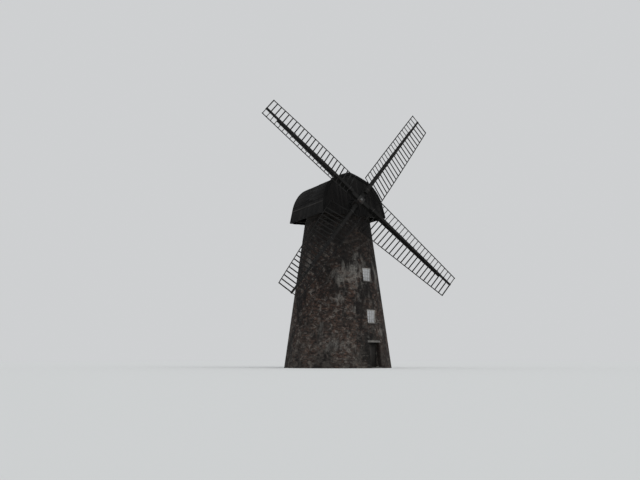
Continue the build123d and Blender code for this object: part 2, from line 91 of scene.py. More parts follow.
blockSigns = [(i, j, k) for k in (-1, 1) for i, j in ((-1, -1), (1, -1), (1, 1), (-1, 1))]
blockQuads = np.array([[0, 3, 2, 1], [4, 5, 6, 7], [0, 1, 5, 4], [1, 2, 6, 5], [2, 3, 7, 6], [3, 0, 4, 7]])


def meshFromQuads(name, points, quads):
    # points, and four point numbers for each face, put into the mesh as whole arrays
    mesh = bpy.data.meshes.new(name)
    points = np.ascontiguousarray(points, dtype=np.float32)
    quads = np.ascontiguousarray(quads, dtype=np.int32)
    mesh.vertices.add(len(points))
    mesh.vertices.foreach_set("co", points.ravel())
    mesh.loops.add(quads.size)
    mesh.loops.foreach_set("vertex_index", quads.ravel())
    mesh.polygons.add(len(quads))
    mesh.polygons.foreach_set("loop_start", np.arange(0, quads.size, 4, dtype=np.int32))
    mesh.update(calc_edges=True)
    mesh.validate()
    return mesh


def addObject(name, data):
    thing = bpy.data.objects.new(name, data)
    scene.collection.objects.link(thing)
    return thing


def addPiece(mesh, body, material, smooth=False, bevel=0.0):
    # the piece takes its mesh's name
    piece = addObject(mesh.name, mesh)
    mesh.materials.append(material)
    if smooth:
        mesh.polygons.foreach_set("use_smooth", np.ones(len(mesh.polygons), dtype=bool))
    if bevel:
        edge = piece.modifiers.new("edges", "BEVEL")
        edge.width = bevel
        edge.segments = 1
        edge.limit_method = "ANGLE"
    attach(piece, body)


def block(centre, along, across, out):
    # eight corners of a block: its centre plus or minus three half vectors
    return np.array([centre + i * along + j * across + k * out for i, j, k in blockSigns])


def addBlocks(name, blocks, body, material, tones=None, bevel=0.0):
    # closed blocks of eight corners as one mesh; one that came out inside out has its ends swapped, and
    # a block's tone is kept on its corners for the material to read
    corners = np.array(blocks)
    along, across, out = (corners[:, index] - corners[:, 0] for index in (1, 3, 4))
    insideOut = np.einsum("ni,ni->n", np.cross(along, across), out) < 0
    corners[insideOut] = corners[insideOut][:, [1, 0, 3, 2, 5, 4, 7, 6]]
    quads = (blockQuads[None, :, :] + 8 * np.arange(len(corners))[:, None, None]).reshape(-1, 4)
    mesh = meshFromQuads(name, corners.reshape(-1, 3), quads)
    if tones is not None:
        tone = mesh.attributes.new("tone", "FLOAT", "POINT")
        tone.data.foreach_set("value", np.repeat(tones, 8).astype(np.float32))
    addPiece(mesh, body, material, bevel=bevel)


def gridMesh(name, points, closeU=False, closeV=False):
    # a surface of (u, v) points, joined into quads; closed ways wrap round
    nu, nv = points.shape[:2]
    u = np.arange(nu if closeU else nu - 1)
    v = np.arange(nv if closeV else nv - 1)
    uu, vv = np.meshgrid(u, v, indexing="ij")
    un, vn = (uu + 1) % nu, (vv + 1) % nv
    quads = np.stack([uu * nv + vv, un * nv + vv, un * nv + vn, uu * nv + vn], axis=-1).reshape(-1, 4)
    return meshFromQuads(name, points.reshape(-1, 3), quads)


def closedMesh(mesh):
    # merges the points that meet at poles and seams, and turns every face outwards
    shell = bmesh.new()
    shell.from_mesh(mesh)
    bmesh.ops.remove_doubles(shell, verts=shell.verts, dist=1e-5)
    bmesh.ops.dissolve_degenerate(shell, edges=shell.edges, dist=1e-6)
    bmesh.ops.recalc_face_normals(shell, faces=shell.faces)
    shell.to_mesh(mesh)
    shell.free()
    return mesh


def cappedTube(name, rings):
    # rings of points along a run, joined into a tube whose two ends close at their middles
    rings = np.stack(rings, axis=1)
    ends = np.repeat(rings[[0, -1]].mean(axis=1, keepdims=True), rings.shape[1], axis=1)
    return closedMesh(gridMesh(name, np.concatenate([ends[:1], rings, ends[1:]]), closeV=True))


def turnedMesh(name, base, axis, profile, sides=6):
    # a profile of (radius, distance along the axis) turned round the axis, closed at both poles
    axis = unit(axis)
    skew = (0.31, 0.17, 0.93)  # a direction that no axis here follows
    across = unit(np.cross(axis, skew))
    turn = np.linspace(0, 2 * np.pi, sides + 1)[:-1]
    ring = np.cos(turn)[:, None] * across + np.sin(turn)[:, None] * np.cross(axis, across)
    radius, distance = np.array(profile).T
    points = np.array(base) + radius[:, None, None] * ring[None] + (distance[:, None] * axis)[:, None]
    return closedMesh(gridMesh(name, points, closeV=True))


def mergedMesh(name, parts):
    # many small meshes as one
    shell = bmesh.new()
    for part in parts:
        shell.from_mesh(part)
        bpy.data.meshes.remove(part)
    mesh = bpy.data.meshes.new(name)
    shell.to_mesh(mesh)
    shell.free()
    return mesh


# materials


def newMaterial(name, roughness=0.8, metallic=0.0, specular=0.5, colour=(0.5, 0.5, 0.5)):
    # numbers that are the same all over sit on the shader's own sockets
    material = bpy.data.materials.new(name)
    material.use_nodes = True
    sockets = material.node_tree.nodes["Principled BSDF"].inputs
    sockets["Base Color"].default_value = (*colour, 1)
    sockets["Roughness"].default_value = roughness
    sockets["Metallic"].default_value = metallic
    sockets["Specular IOR Level"].default_value = specular
    return material, material.node_tree


def addNode(kind, inputs, tree=None, **settings):
    # a node joins the tree that is named, or else the tree of the first socket it is given
    tree = tree or next(value.id_data for value in inputs.values() if hasattr(value, "is_output"))
    node = tree.nodes.new(kind)
    for key, value in settings.items():
        setattr(node, key, value)
    for key, value in inputs.items():
        if hasattr(value, "is_output"):
            tree.links.new(value, node.inputs[key])
        else:
            node.inputs[key].default_value = value
    return node


def finished(material, colour, roughness=None, bump=None):
    # joins the worked-out colour, roughness and (height, strength, distance) to the shader
    tree = material.node_tree
    sockets = tree.nodes["Principled BSDF"].inputs
    tree.links.new(colour, sockets["Base Color"])
    if roughness is not None:
        tree.links.new(roughness, sockets["Roughness"])
    if bump:
        node = addNode("ShaderNodeBump", dict(zip(("Height", "Strength", "Distance"), bump)))
        tree.links.new(node.outputs["Normal"], sockets["Normal"])
    return material


def objectPlace(tree, scale=(1, 1, 1), rotation=(0, 0, 0)):
    # a small scale along an axis draws a pattern out that way
    coordinates = addNode("ShaderNodeTexCoord", {}, tree).outputs["Object"]
    mapping = addNode("ShaderNodeMapping", {"Vector": coordinates, "Scale": scale, "Rotation": rotation})
    return mapping.outputs["Vector"]


def noise(vector, scale, detail=4.0, rough=0.6, distortion=0.0):
    values = {"Vector": vector, "Scale": scale, "Detail": detail, "Roughness": rough, "Distortion": distortion}
    return addNode("ShaderNodeTexNoise", values).outputs["Fac"]


def ramp(fac, stops):
    # a stop is a position and a colour, or one number for a grey
    node = addNode("ShaderNodeValToRGB", {"Fac": fac})
    elements = node.color_ramp.elements
    while len(elements) < len(stops):
        elements.new(0.5)
    for element, (position, colour) in zip(elements, stops):
        element.position = position
        element.color = (*(colour if isinstance(colour, tuple) else (colour,) * 3), 1)
    return node.outputs["Color"]


def remap(value, low, high, toLow=0.0, toHigh=1.0):
    values = {"Value": value, "From Min": low, "From Max": high, "To Min": toLow, "To Max": toHigh}
    return addNode("ShaderNodeMapRange", values).outputs["Result"]


def maths(operation, a, b=0.5):
    return addNode("ShaderNodeMath", {0: a, 1: b}, operation=operation).outputs["Value"]


def times(a, b):
    return maths("MULTIPLY", a, b)


def plus(a, b):
    return maths("ADD", a, b)


def vectorMaths(operation, a, b=(0, 0, 0), output="Vector"):
    return addNode("ShaderNodeVectorMath", {0: a, 1: b}, operation=operation).outputs[output]


def mixColour(fac, a, b, blend="MIX"):
    # inputs 6 and 7 are the Mix node's two colours
    a, b = ((*value, 1) if isinstance(value, tuple) else value for value in (a, b))
    return addNode("ShaderNodeMix", {0: fac, 6: a, 7: b}, data_type="RGBA", blend_type=blend).outputs[2]


def blockTone(tree):
    # the tone that addBlocks keeps on each block
    settings = {"attribute_name": "tone", "attribute_type": "GEOMETRY"}
    return addNode("ShaderNodeAttribute", {}, tree, **settings).outputs["Fac"]


# places on the brickwork: azimuth, height, half width, half height, strength; the pale ones are weathered, and
# the dark ones are painted shade mixed with soot
palePlaces = [
    (-103.0, 7.9, 1.5, 1.15, 1.0), (-92.0, 9.0, 0.8, 0.9, 0.55),
    (-116.0, 5.7, 0.5, 0.6, 0.9), (-108.0, 5.0, 0.9, 0.6, 0.45),
    (-55.0, 7.6, 0.45, 1.7, 0.95), (-64.0, 2.9, 0.7, 0.5, 0.8),
    (-84.0, 5.9, 0.5, 1.0, 0.5), (-130.0, 9.3, 0.6, 0.6, 0.4),
    (-135.0, 3.2, 1.3, 0.8, 0.35), (-118.0, 2.2, 1.6, 1.0, 0.5),
    (60.0, 6.6, 1.5, 1.1, 0.9), (100.0, 9.2, 0.9, 0.9, 0.5),
    (148.0, 4.4, 1.0, 1.2, 0.8), (-163.0, 8.4, 0.6, 1.2, 0.6),
    (20.0, 3.4, 1.2, 1.0, 0.6), (-20.0, 8.8, 0.8, 1.3, 0.6),
]
# painted shade mixed with soot: round the doorway, under the windows, and over the shaded side and the top,
# with like places on the far side
shadeAndSootPlaces = [
    (-75.0, 1.1, 1.35, 1.7, 1.0), (-75.0, 6.35, 0.75, 0.9, 0.8),
    (-72.0, 3.35, 0.8, 0.7, 0.5), (-112.0, 10.6, 2.6, 1.6, 0.8),
    (-125.0, 7.0, 0.8, 1.6, 0.6), (105.0, 6.35, 0.75, 0.9, 0.8),
    (35.0, 10.4, 2.4, 1.6, 0.8), (-175.0, 11.0, 2.2, 1.3, 0.7),
]


def nearPlaces(place, places):
    # each place's strength fades with the distance from its centre over its size, and the largest counts
    total = None
    for azimuth, height, halfWidth, halfHeight, strength in places:
        centre = facing(azimuth)[0] * outerRadius(height) + up * height
        shifted = vectorMaths("SUBTRACT", place, tuple(centre))
        scaled = vectorMaths("MULTIPLY", shifted, (1 / halfWidth, 1 / halfWidth, 1 / halfHeight))
        near = remap(vectorMaths("LENGTH", scaled, output="Value"), 1.6, 0.0, 0.0, strength)
        total = near if total is None else maths("MAXIMUM", total, near)
    return total


def paleMask(tree):
    # streaked cloudy noise lifted where a pale place is near, then cut at a level so that its edge is ragged
    place = objectPlace(tree)
    streaks = noise(objectPlace(tree, (1, 1, 0.45)), 1.7, 9.0, 0.68, 0.5)
    lifted = plus(streaks, times(nearPlaces(place, palePlaces), 0.26))
    speckle = remap(noise(place, 11.0, 5.0, 0.7), 0.36, 0.62, 0.25, 1.0)
    return times(remap(lifted, 0.60, 0.80), speckle)


def oldBrick():
    material, tree = newMaterial("oldBrick", specular=0.14)
    place = objectPlace(tree)
    # runs of brick a few courses high share a tone, and each brick strays from it
    runs = remap(noise(objectPlace(tree, (1, 1, 1.5)), 3.4, 3.0, 0.6, 0.3), 0.34, 0.66)
    ownTone = times(blockTone(tree), 0.55)
    shared = plus(ownTone, times(runs, 0.45))
    burnt = ramp(shared, [
        (0.10, (0.008, 0.007, 0.007)), (0.34, (0.020, 0.014, 0.012)), (0.56, (0.042, 0.026, 0.020)),
        (0.76, (0.085, 0.052, 0.039)), (0.95, (0.150, 0.108, 0.085)),
    ])
    # blotches about a hand and about a stride wide, over the bricks' own tones
    blotch = noise(objectPlace(tree, (1, 1, 1.35)), 2.3, 5.0, 0.66, 0.5)
    washed = mixColour(remap(blotch, 0.52, 0.63, 0.0, 0.88), burnt, (0.146, 0.130, 0.114))
    cloud = noise(objectPlace(tree, (1, 1, 0.55)), 0.85, 8.0, 0.70, 0.4)
    sooty = mixColour(remap(cloud, 0.45, 0.56, 0.0, 0.92), washed, (0.008, 0.007, 0.007))
    # darker towards the top, and painted shade with soot at the dark places round the doorway, under the
    # windows and down the shaded side
    height = addNode("ShaderNodeSeparateXYZ", {0: place}).outputs["Z"]
    dark = maths("MAXIMUM", remap(height, 7.2, 11.6, 0.0, 0.95), nearPlaces(place, shadeAndSootPlaces))
    patchy = remap(noise(place, 1.4, 8.0, 0.7), 0.32, 0.55, 0.5, 1.0)
    # the near-black mixed in here is painted shade with soot at the dark places, and the darkening towards the
    # top
    tarred = mixColour(times(dark, patchy), sooty, (0.007, 0.0065, 0.006))
    # rain-washed paler brick near the ground, but not in the painted shade round the doorway
    footNoise = noise(objectPlace(tree, (1, 1, 1.6)), 1.9, 8.0, 0.7)
    low = times(remap(height, 5.4, 0.2), remap(footNoise, 0.44, 0.64))
    awayFromDoor = maths("SUBTRACT", 1.0, nearPlaces(place, shadeAndSootPlaces[:1]))
    footShare = times(times(low, awayFromDoor), 0.6)
    foot = mixColour(footShare, tarred, (0.120, 0.108, 0.094))
    paleShare = times(paleMask(tree), remap(dark, 0.95, 0.3, 0.15, 0.92))
    limed = mixColour(paleShare, foot, (0.215, 0.205, 0.185))
    grit = noise(place, 55.0, 5.0, 0.7)
    final = mixColour(0.4, limed, ramp(grit, [(0.3, 0.25), (0.7, 0.80)]), "OVERLAY")
    height = plus(grit, noise(place, 9.0, 4.0))
    return finished(material, final, remap(grit, 0.2, 0.8, 0.82, 0.96), (height, 0.5, 0.006))


def mortarAndPlaster():
    # outside the wall's core shows as dark mortar; inside, past half the wall, it is limewashed plaster
    material, tree = newMaterial("mortarAndPlaster", 0.92, specular=0.18)
    place = objectPlace(tree)
    axes = addNode("ShaderNodeSeparateXYZ", {0: place}).outputs
    radius = maths("SQRT", plus(*(times(axes[n], axes[n]) for n in "XY")))
    faceRadius = maths("SUBTRACT", tower["baseRadius"], times(axes["Z"], batter))
    depth = maths("SUBTRACT", faceRadius, radius)
    mottle = noise(place, 3.0, 8.0, 0.7)
    mortarGreys = [(0.3, (0.018, 0.017, 0.016)), (0.55, (0.045, 0.041, 0.036)), (0.75, (0.095, 0.086, 0.075))]
    mortar = ramp(mottle, mortarGreys)
    limed = mixColour(paleMask(tree), mortar, (0.24, 0.228, 0.205))
    plaster = ramp(mottle, [(0.3, (0.42, 0.40, 0.35)), (0.6, (0.60, 0.58, 0.52)), (0.8, (0.68, 0.66, 0.61))])
    final = mixColour(remap(depth, 0.36, 0.40), limed, plaster)
    return finished(material, final, bump=(noise(place, 38.0, 6.0, 0.7), 0.45, 0.008))


def timber(name, stops, stretch, rotation=(0, 0, 0), roughness=(0.62, 0.85), grime=0.5,
           grimeColour=(0.012, 0.011, 0.010), specular=0.28):
    # grain is noise drawn out along the wood, over broader stains
    material, tree = newMaterial(name, specular=specular)
    along = objectPlace(tree, stretch, rotation)
    grain = noise(along, 6.0, 7.0, 0.62, 0.35)
    fine = noise(along, 22.0, 4.0, 0.7)
    boardTone = times(blockTone(tree), 0.28)
    base = ramp(plus(times(grain, 0.72), boardTone), stops)
    stain = remap(noise(objectPlace(tree), 1.3, 6.0, 0.68), 0.45, 0.72, 0.0, grime)
    height = plus(grain, times(fine, 0.5))
    stained = mixColour(stain, base, grimeColour)
    return finished(material, stained, remap(fine, 0.3, 0.7, *roughness), (height, 0.4, 0.004))


def castIron():
    # near-black scale, rusty in patches and finely pitted
    material, tree = newMaterial("castIron", metallic=0.1, specular=0.25)
    place = objectPlace(tree)
    scale = noise(place, 7.0, 7.0, 0.65)
    rust = remap(noise(place, 3.1, 6.0, 0.7), 0.52, 0.70, 0.0, 0.7)
    greys = [(0.3, (0.008, 0.0078, 0.0075)), (0.6, (0.018, 0.0174, 0.0168)), (0.8, (0.042, 0.039, 0.036))]
    base = ramp(scale, greys)
    rusted = mixColour(rust, base, (0.032, 0.016, 0.010))
    pitting = noise(place, 60.0, 5.0, 0.7)
    return finished(material, rusted, remap(scale, 0.3, 0.7, 0.55, 0.88), (pitting, 0.35, 0.003))


def mottled(name, spots, stops, roughness, bump=None, metallic=0.0):
    # one noise of scale, detail and roughness gives the colour and the gloss, and a second one the height
    material, tree = newMaterial(name, metallic=metallic)
    place = objectPlace(tree)
    mottle = noise(place, *spots)
    height = bump and (noise(place, *bump["spots"]), bump["strength"], bump["distance"])
    return finished(material, ramp(mottle, stops), remap(mottle, *roughness), height)


def hewnStone(name, pale, dark):
    # two tones in blotches under a fine grain
    material, tree = newMaterial(name, 0.85)
    place = objectPlace(tree)
    blotch = noise(place, 4.0, 8.0, 0.7)
    grain = noise(place, 70.0, 4.0, 0.75)
    base = ramp(blotch, [(0.3, dark), (0.65, pale)])
    final = mixColour(0.4, base, ramp(grain, [(0.3, 0.3), (0.7, 0.75)]), "OVERLAY")
    return finished(material, final, bump=(plus(grain, times(blotch, 2.0)), 0.5, 0.006))


def floorBricks():
    # paving bricks in rows, dusty in patches
    material, tree = newMaterial("floorBricks", 0.85)
    place = objectPlace(tree)
    pattern = addNode("ShaderNodeTexBrick", {
        "Vector": place, "Scale": 1.0, "Mortar Size": 0.006, "Brick Width": 0.235, "Row Height": 0.12,
        "Color1": (0.16, 0.085, 0.06, 1), "Color2": (0.10, 0.060, 0.045, 1), "Mortar": (0.10, 0.09, 0.08, 1),
    })
    dust = remap(noise(place, 2.0, 7.0, 0.7), 0.4, 0.7, 0.0, 0.6)
    dusty = mixColour(dust, pattern.outputs["Color"], (0.22, 0.20, 0.17))
    height = maths("SUBTRACT", noise(place, 30.0), pattern.outputs["Fac"])
    return finished(material, dusty, bump=(height, 0.4, 0.005))


# finishes; a timber's stretch is small along its grain
grainX, grainY, grainZ = (0.8, 8, 8), (8, 0.8, 8), (8, 8, 0.8)
tarred = {
    "stops": [
        (0.30, (0.003, 0.003, 0.003)), (0.50, (0.0065, 0.006, 0.0055)),
        (0.68, (0.013, 0.012, 0.011)), (0.86, (0.030, 0.027, 0.024)),
    ],
    "roughness": (0.72, 0.95),
    "grimeColour": (0.005, 0.005, 0.005),
    "specular": 0.12,
}
oak = [(0.30, (0.016, 0.013, 0.011)), (0.55, (0.040, 0.031, 0.024)), (0.80, (0.085, 0.067, 0.050))]
weatheredGrey = {
    "stops": [
        (0.30, (0.010, 0.009, 0.008)), (0.50, (0.024, 0.022, 0.0195)),
        (0.68, (0.050, 0.046, 0.041)), (0.86, (0.090, 0.083, 0.075)),
    ],
    "roughness": (0.7, 0.92),
    "grime": 0.55,
    "specular": 0.16,
}
doorWood = {
    "stops": [
        (0.30, (0.008, 0.0072, 0.0065)), (0.50, (0.018, 0.016, 0.014)),
        (0.68, (0.034, 0.030, 0.026)), (0.86, (0.062, 0.056, 0.050)),
    ],
    "roughness": (0.55, 0.8),
    "grime": 0.4,
}
sailWood = {
    "stops": [
        (0.30, (0.004, 0.0038, 0.0035)), (0.52, (0.0085, 0.0078, 0.007)),
        (0.72, (0.019, 0.017, 0.015)), (0.88, (0.042, 0.037, 0.032)),
    ],
    "specular": 0.14,
}

oldBricks = oldBrick()
wallCore = mortarAndPlaster()
tarredUpright = timber("tarredUpright", stretch=grainZ, **tarred)
tarredLong = timber("tarredLong", stretch=grainY, **tarred)
oakLong = timber("oakLong", oak, grainY)
oakAcross = timber("oakAcross", oak, grainX)
greyTimber = timber("greyTimber", stretch=grainY, **weatheredGrey)
doorTimber = timber("doorTimber", stretch=grainZ, **doorWood)
lintelStone = hewnStone("lintelStone", (0.135, 0.128, 0.116), (0.058, 0.054, 0.049))
limewash = hewnStone("limewash", (0.30, 0.29, 0.265), (0.16, 0.152, 0.138))
# sill and step stone darkened far below a stone's own tone as painted shade, standing for the shadow line under
# the window sills
sillStonePaintedShade = hewnStone("sillStonePaintedShade", (0.060, 0.055, 0.050), (0.022, 0.020, 0.018))
iron = castIron()
floorFinish = floorBricks()
sashPaint = mottled(
    "paintedSash", (9.0, 7.0, 0.7),
    [(0.28, (0.11, 0.105, 0.095)), (0.5, (0.24, 0.232, 0.215)), (0.8, (0.36, 0.352, 0.33))],
    (0.3, 0.7, 0.7, 0.45), {"spots": (40.0, 4.0), "strength": 0.25, "distance": 0.002},
)
# dusty panes whose pale tone is also painted sky reflection
glass = mottled(
    "dustyGlassPaintedReflection", (3.2, 6.0, 0.65),
    [(0.3, (0.22, 0.23, 0.235)), (0.55, (0.34, 0.345, 0.35)), (0.85, (0.43, 0.44, 0.44))],
    (0.3, 0.75, 0.06, 0.35), {"spots": (2.2, 3.0), "strength": 0.12, "distance": 0.01},
)
brass = mottled(
    "brassBearing", (12.0, 6.0),
    [(0.3, (0.035, 0.028, 0.018)), (0.7, (0.12, 0.088, 0.045))],
    (0.3, 0.7, 0.55, 0.3), metallic=0.9,
)
zinc = mottled(
    "wornZinc", (14.0, 7.0, 0.7),
    [(0.32, 0.05), (0.5, (0.12, 0.12, 0.118)), (0.8, (0.24, 0.24, 0.235))],
    (0.3, 0.7, 0.75, 0.5), {"spots": (14.0, 7.0, 0.7), "strength": 0.3, "distance": 0.003},
    metallic=0.7,
)


# the sails' directions: each arm has its own square axes

tilt = math.radians(sails["tilt"])
shaftForward = np.array([0.0, -math.cos(tilt), math.sin(tilt)])
hub = np.array(sails["hub"])
arms = [(sails["firstAngle"] + 90 * number, sails["seats"][number % 2]) for number in range(4)]


def armAxes(angle):
    # outwards along the arm, anticlockwise across it, and forwards along the shaft
    a = math.radians(angle)
    out = np.array([math.cos(a), math.sin(a) * math.sin(tilt), math.sin(a) * math.cos(tilt)])
    return out, np.cross(shaftForward, out), shaftForward


sailTimber, barTimber = [], []
for number in range(2):
    # turns object coordinates so that the arm lies along the mapping's Z
    out, side, forward = armAxes(arms[number][0])
    turn = tuple(Matrix((side, forward, out)).to_euler("XYZ"))
    shared = {"rotation": turn, **sailWood}
    sailTimber.append(timber(f"sailTimber{number + 1}", stretch=(9, 9, 0.9), grime=0.6, **shared))
    barTimber.append(timber(f"barTimber{number + 1}", stretch=(2.0, 9, 4.0), grime=0.55, **shared))
print("materials made")

# how the names of the solids that take each finish start
finishes = [
    (wallCore, ("wall_", "doorway_")),
    (lintelStone, ("door_lintel",)),
    (sillStonePaintedShade, ("door_step", "window_sills")),
    (floorFinish, ("ground_floor",)),
    (oakLong, ("first_floor", "second_floor", "cap_sheers", "eave_plates")),
    (oakAcross, ("window_heads", "curb", "cap_circle", "weather_beam", "tail_beam", "cap_outriggers")),
    (sashPaint, ("window_frames",)),
    (glass, ("window_panes",)),
    (doorTimber, ("door_leaf", "door_ledges", "door_posts", "door_head")),
    (iron, ("door_straps", "door_pintles", "windshaft", "canister")),
    (brass, ("neck_bearing", "tail_bearing")),
    (tarredLong, ("cap_roof", "ridge_board")),
    (tarredUpright, ("cap_skirt", "cap_rear", "cap_front")),
    (sailTimber[0], ("stock_inner", "whip_1", "whip_3")),
    (sailTimber[1], ("stock_outer", "whip_2", "whip_4")),
    (barTimber[0], ("lattice_1", "lattice_3")),
    (barTimber[1], ("lattice_2", "lattice_4")),
]
for nodeName, node in cadNodes.items():
    matches = [material for material, starts in finishes if nodeName.startswith(starts)]
    if not matches:
        raise SystemExit(f"no finish for {nodeName}")
    node.data.materials.clear()
    node.data.materials.append(matches[0])
print("nodes finished")


# brickwork

bricks = {
    "course": 0.075, "joint": 0.010, "stretcher": 0.225, "header": 0.110,
    "shuffle": 0.137,  # of a pair, that every third course is moved on by
    "proud": 0.005, "sunk": 0.004, "jitter": 0.0022,
    "upDown": 0.4,  # share of the jitter in a brick's foot and top
    "spalled": 0.03,  # share of the bricks whose face has come away
    "spallDepth": 0.009,
    "tones": (2.0, 2.6),  # shape of the tones' beta spread
    "cut": 0.004,  # left between a cut brick and the opening
    "slack": 0.01, "thinnest": 0.018, "shortest": 0.022,
    "bands": ("Lower", "Middle", "Upper"),
}
reveals = {
    "setBack": 0.006, "halfThick": 0.005, "sunk": 0.002, "shortest": 0.03,
    "doorFoot": 0.10, "doorFrame": 0.08, "sashGap": 0.004,
}

# the openings as rectangles on the wall's face: azimuth, half width, lowest and highest
openings = [
    (doorway["azimuth"], doorway["half"], -1.0, doorway["top"]),
    (doorway["azimuth"], doorway["lintelHalf"], doorway["top"], doorway["lintelTop"]),
]
for azimuth, level in windowPlaces:
    low, high = level - windows["halfHeight"], level + windows["halfHeight"]
    openings.append((azimuth, windows["halfWidth"], low, high))
    openings.append((azimuth, windows["sillHalf"], low - windows["sillHeight"], low))
    openings.append((azimuth, windows["headHalf"], high, high + windows["headHeight"]))


def layBricks():
    # Flemish bond: each course is a ring of stretcher and header pairs, odd courses half a pair round
    course = np.arange(int(round(tower["height"] / bricks["course"])))
    middle = (course + 0.5) * bricks["course"]
    pairLength = bricks["stretcher"] + bricks["header"] + 2 * bricks["joint"]
    pairs = np.round(2 * np.pi * outerRadius(middle) / pairLength).astype(int)
    courseOf = np.repeat(course, 2 * pairs)
    place = np.arange(len(courseOf)) - np.repeat(np.cumsum(2 * pairs) - 2 * pairs, 2 * pairs)
    pairAngle = 2 * np.pi / pairs[courseOf]
    isHeader = place % 2 == 1
    split = (bricks["stretcher"] + bricks["joint"]) / pairLength
    jointAngle = bricks["joint"] / outerRadius(middle[courseOf])
    start = place // 2 + np.where(isHeader, split, 0.0)
    first = (start + 0.5 * (courseOf % 2) + bricks["shuffle"] * (courseOf % 3)) * pairAngle
    last = first + np.where(isHeader, 1 - split, split) * pairAngle - jointAngle
    low = courseOf * bricks["course"] + bricks["joint"] / 2
    return first, last, low, low + bricks["course"] - bricks["joint"]


def cutAtOpenings(first, last, low, high):
    # a brick inside an opening goes; one across its side, its top or its foot is cut back to it
    keep = np.ones(len(first), dtype=bool)
    cut, slack = bricks["cut"], bricks["slack"]
    for azimuth, half, bottom, top in openings:
        radius = outerRadius((low + high) / 2)
        middle = ((first + last) / 2 - math.radians(azimuth) + np.pi) % (2 * np.pi) - np.pi
        spread = (last - first) / 2
        left, right = radius * (middle - spread), radius * (middle + spread)
        edge = radius * np.arcsin(np.clip(half / radius, -1, 1))
        crossing = (high > bottom) & (low < top) & (right > -edge) & (left < edge) & keep
        inside = crossing & (left >= -edge - slack) & (right <= edge + slack)
        over = inside & (high > top) & (low < top)
        under = inside & (low < bottom) & (high > bottom)
        low = np.where(over, top + cut, low)
        high = np.where(under & ~over, bottom - cut, high)
        keep &= ~(inside & ~over & ~under) & (high - low > bricks["thinnest"])
        sideways = crossing & ~inside & ((low + high) / 2 > bottom) & ((low + high) / 2 < top)
        leftCut = sideways & (left < -edge)
        rightCut = sideways & (right > edge) & ~leftCut
        last = np.where(leftCut, first + (-edge - cut - left) / radius, last)
        first = np.where(rightCut, last - (right - edge - cut) / radius, first)
        keep &= (last - first) * radius > bricks["shortest"]
    return first[keep], last[keep], low[keep], high[keep]


def brickCorners(first, last, low, high):
    # each brick is a block between two angles, two heights, and the wall's face sunk and proud
    count = len(first)
    wobble = rng.normal(0, bricks["jitter"], (count, 3))
    spall = np.where(rng.random(count) < bricks["spalled"], bricks["spallDepth"], 0.0)
    proud = bricks["proud"] + np.abs(wobble[:, 0]) - spall
    low = low + wobble[:, 1] * bricks["upDown"]
    high = high + wobble[:, 2] * bricks["upDown"]
    corners = []
    for depth in (-bricks["sunk"], proud):
        for angle, z in ((first, low), (last, low), (last, high), (first, high)):
            radius = outerRadius(z) + depth
            corners.append(np.stack([radius * np.cos(angle), radius * np.sin(angle), z], axis=-1))
    return np.stack(corners, axis=1)


first, last, low, high = cutAtOpenings(*layBricks())
brickBlocks = brickCorners(first, last, low, high)
tones = np.clip(rng.beta(*bricks["tones"], len(first)), 0, 1)
bandOf = np.minimum((low / (tower["height"] / len(bricks["bands"]))).astype(int), len(bricks["bands"]) - 1)
for index, band in enumerate(bricks["bands"]):
    inBand = bandOf == index
    addBlocks(f"brickwork{band}", brickBlocks[inBand], "tower", oldBricks, tones[inBand])
print("bricks laid:", len(first))


def revealBricks(azimuth, half, bottom, top, backDistance):
    # bricks in the sides of an opening, flat against each reveal, course by course
    out, right = facing(azimuth)
    course, joint = bricks["course"], bricks["joint"]
    header, stretcher = bricks["header"], bricks["stretcher"]
    blocks = []
    for side in (-1, 1):
        for z in (np.arange(int(np.ceil(bottom / course)), int(top / course)) + 0.5) * course:
            at = math.sqrt(outerRadius(z) ** 2 - half ** 2) - reveals["setBack"]
            odd = int(z / course) % 2
            lengths = [header, stretcher] * 2 + [header] if odd else [stretcher, header] * 2
            for length in lengths:
                end = max(at - length, backDistance)
                if at - end < reveals["shortest"]:
                    break
                centre = out * (at + end) / 2 + right * side * (half - reveals["sunk"]) + up * z
                along, across = out * (at - end) / 2, up * (course - joint) / 2
                blocks.append(block(centre, along, across, right * side * reveals["halfThick"]))
                at = end - joint
    return blocks


back = doorway["inner"] + reveals["doorFrame"]
doorReveals = revealBricks(doorway["azimuth"], doorway["half"], reveals["doorFoot"], doorway["top"], back)
windowReveals = []
for azimuth, level in windowPlaces:
    low, high = level - windows["halfHeight"], level + windows["halfHeight"]
    back = outerRadius(level) - windows["inset"] + reveals["sashGap"]
    windowReveals += revealBricks(azimuth, windows["halfWidth"], low, high, back)
lined = (("doorReveals", doorReveals, oldBricks), ("windowReveals", windowReveals, limewash))
for name, blocks, finish in lined:
    addBlocks(name, blocks, "tower", finish, rng.beta(*bricks["tones"], len(blocks)))
    print(name, "bricked:", len(blocks))


# window bars

glazing = {"columns": 3, "rows": 4, "barWidth": 0.022, "barDepth": 0.034, "rowsBack": 0.002}
barBlocks = []
for azimuth, level in windowPlaces:
    out, right = facing(azimuth)
    middle = outerRadius(level) - windows["inset"] - windows["sashDepth"] / 2 + glazing["barDepth"] / 2
    clearX = windows["halfWidth"] - windows["rim"]
    clearZ = windows["halfHeight"] - windows["rim"]
    thick, deep = glazing["barWidth"] / 2, out * glazing["barDepth"] / 2
    for x in np.linspace(-clearX, clearX, glazing["columns"] + 1)[1:-1]:
        barBlocks.append(block(out * middle + right * x + up * level, up * clearZ, right * thick, deep))
    for z in np.linspace(-clearZ, clearZ, glazing["rows"] + 1)[1:-1]:
        centre = out * (middle - glazing["rowsBack"]) + up * (level + z)
        barBlocks.append(block(centre, right * clearX, up * thick, deep))
addBlocks("windowBars", barBlocks, "tower", sashPaint, bevel=0.003)


# cap boarding

